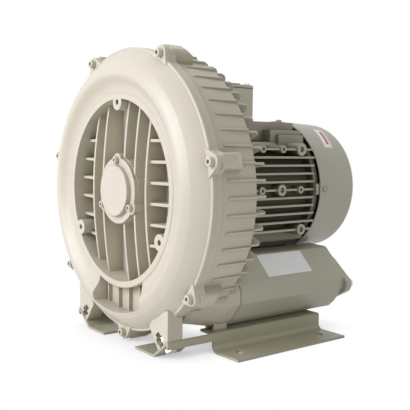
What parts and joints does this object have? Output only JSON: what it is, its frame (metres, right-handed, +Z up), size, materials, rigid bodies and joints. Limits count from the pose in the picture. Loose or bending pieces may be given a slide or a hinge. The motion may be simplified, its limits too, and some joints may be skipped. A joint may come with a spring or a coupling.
{
  "type": "side channel blower",
  "caption": "Side channel blower with a finned housing, a flanged electric motor, two silencers beside each other and sheet metal feet; a bladed impeller spins on the motor shaft.",
  "frame": {"origin": "middle of the four floor holes, on the floor plane", "axes": "+Z up, the front cover faces -Y, the motor points along +Y, +X to the right seen from the front"},
  "size_m": [0.371, 0.3518, 0.3678],
  "materials": {
    "paint": "pebble grey enamel over cast aluminium, fine cast grain",
    "foot_paint": "olive grey enamel over bent sheet steel",
    "cowl_paint": "smooth grey enamel over pressed steel",
    "zinc_steel": "zinc plated",
    "bearing_steel": "ground steel",
    "bare_aluminium": "cast, machined on the faces",
    "lamination_steel": "stacked sheet",
    "copper_winding": "varnished copper wire",
    "seal_rubber": "matte",
    "foam_lining": "open cell foam",
    "black_plastic": "moulded",
    "brass": "turned",
    "fan_plastic": "moulded"
  },
  "bodies": {
    "casing": {"front_cover": "paint", "housing": "paint", "cover_screws": "paint", "bearing_cap": "paint", "bearing_cap_screws": "paint", "preload_washer": "zinc_steel", "front_bearing_outer_race": "bearing_steel", "rear_bearing_outer_race": "bearing_steel", "front_seal": "seal_rubber", "rear_seal": "seal_rubber", "stator_core": "lamination_steel", "stator_windings": "copper_winding", "motor_frame": "paint", "end_shield": "paint", "tie_bolts": "zinc_steel", "fan_cowl": "cowl_paint", "cowl_screws": "zinc_steel", "terminal_box": "paint", "terminal_box_gasket": "seal_rubber", "terminal_box_lid": "paint", "lid_screws": "zinc_steel", "terminal_board": "black_plastic", "terminal_studs": "brass", "cable_gland": "black_plastic", "blanking_plug": "black_plastic", "silencer_gasket_left": "seal_rubber", "silencer_left": "paint", "silencer_screen_left": "zinc_steel", "silencer_lining_left": "foam_lining", "port_flange_left": "paint", "port_flange_screws_left": "zinc_steel", "silencer_gasket_right": "seal_rubber", "silencer_right": "paint", "silencer_screen_right": "zinc_steel", "silencer_lining_right": "foam_lining", "port_flange_right": "paint", "port_flange_screws_right": "zinc_steel", "foot_left": "foot_paint", "foot_right": "foot_paint", "foot_bolts": "zinc_steel", "foot_nuts": "zinc_steel"},
    "rotor": {"shaft": "bearing_steel", "shaft_end_washer": "zinc_steel", "shaft_end_screw": "zinc_steel", "spacer_sleeve": "bearing_steel", "impeller": "bare_aluminium", "impeller_key": "zinc_steel", "front_bearing_inner_race": "bearing_steel", "rear_bearing_inner_race": "bearing_steel", "rotor_core": "lamination_steel", "fan": "fan_plastic", "fan_circlip": "zinc_steel"},
    "front_cage": {"front_bearing_balls": "bearing_steel", "front_bearing_cage": "bare_aluminium"},
    "rear_cage": {"rear_bearing_balls": "bearing_steel", "rear_bearing_cage": "bare_aluminium"}
  },
  "joints": [
    {"name": "rotor_spin", "type": "hinge", "parent": "casing", "child": "rotor", "pos_m": [0, -0.028, 0.192], "axis": [0, 1, 0], "continuous": true},
    {"name": "front_balls_orbit", "type": "hinge", "parent": "casing", "child": "front_cage", "pos_m": [0, -0.1475, 0.192], "axis": [0, 1, 0], "continuous": true},
    {"name": "rear_balls_orbit", "type": "hinge", "parent": "casing", "child": "rear_cage", "pos_m": [0, 0.0925, 0.192], "axis": [0, 1, 0], "continuous": true}
  ],
  "couplings": [
    {"joint": "front_balls_orbit", "follows": "rotor_spin", "ratio": 0.3974},
    {"joint": "rear_balls_orbit", "follows": "rotor_spin", "ratio": 0.3974}
  ]
}
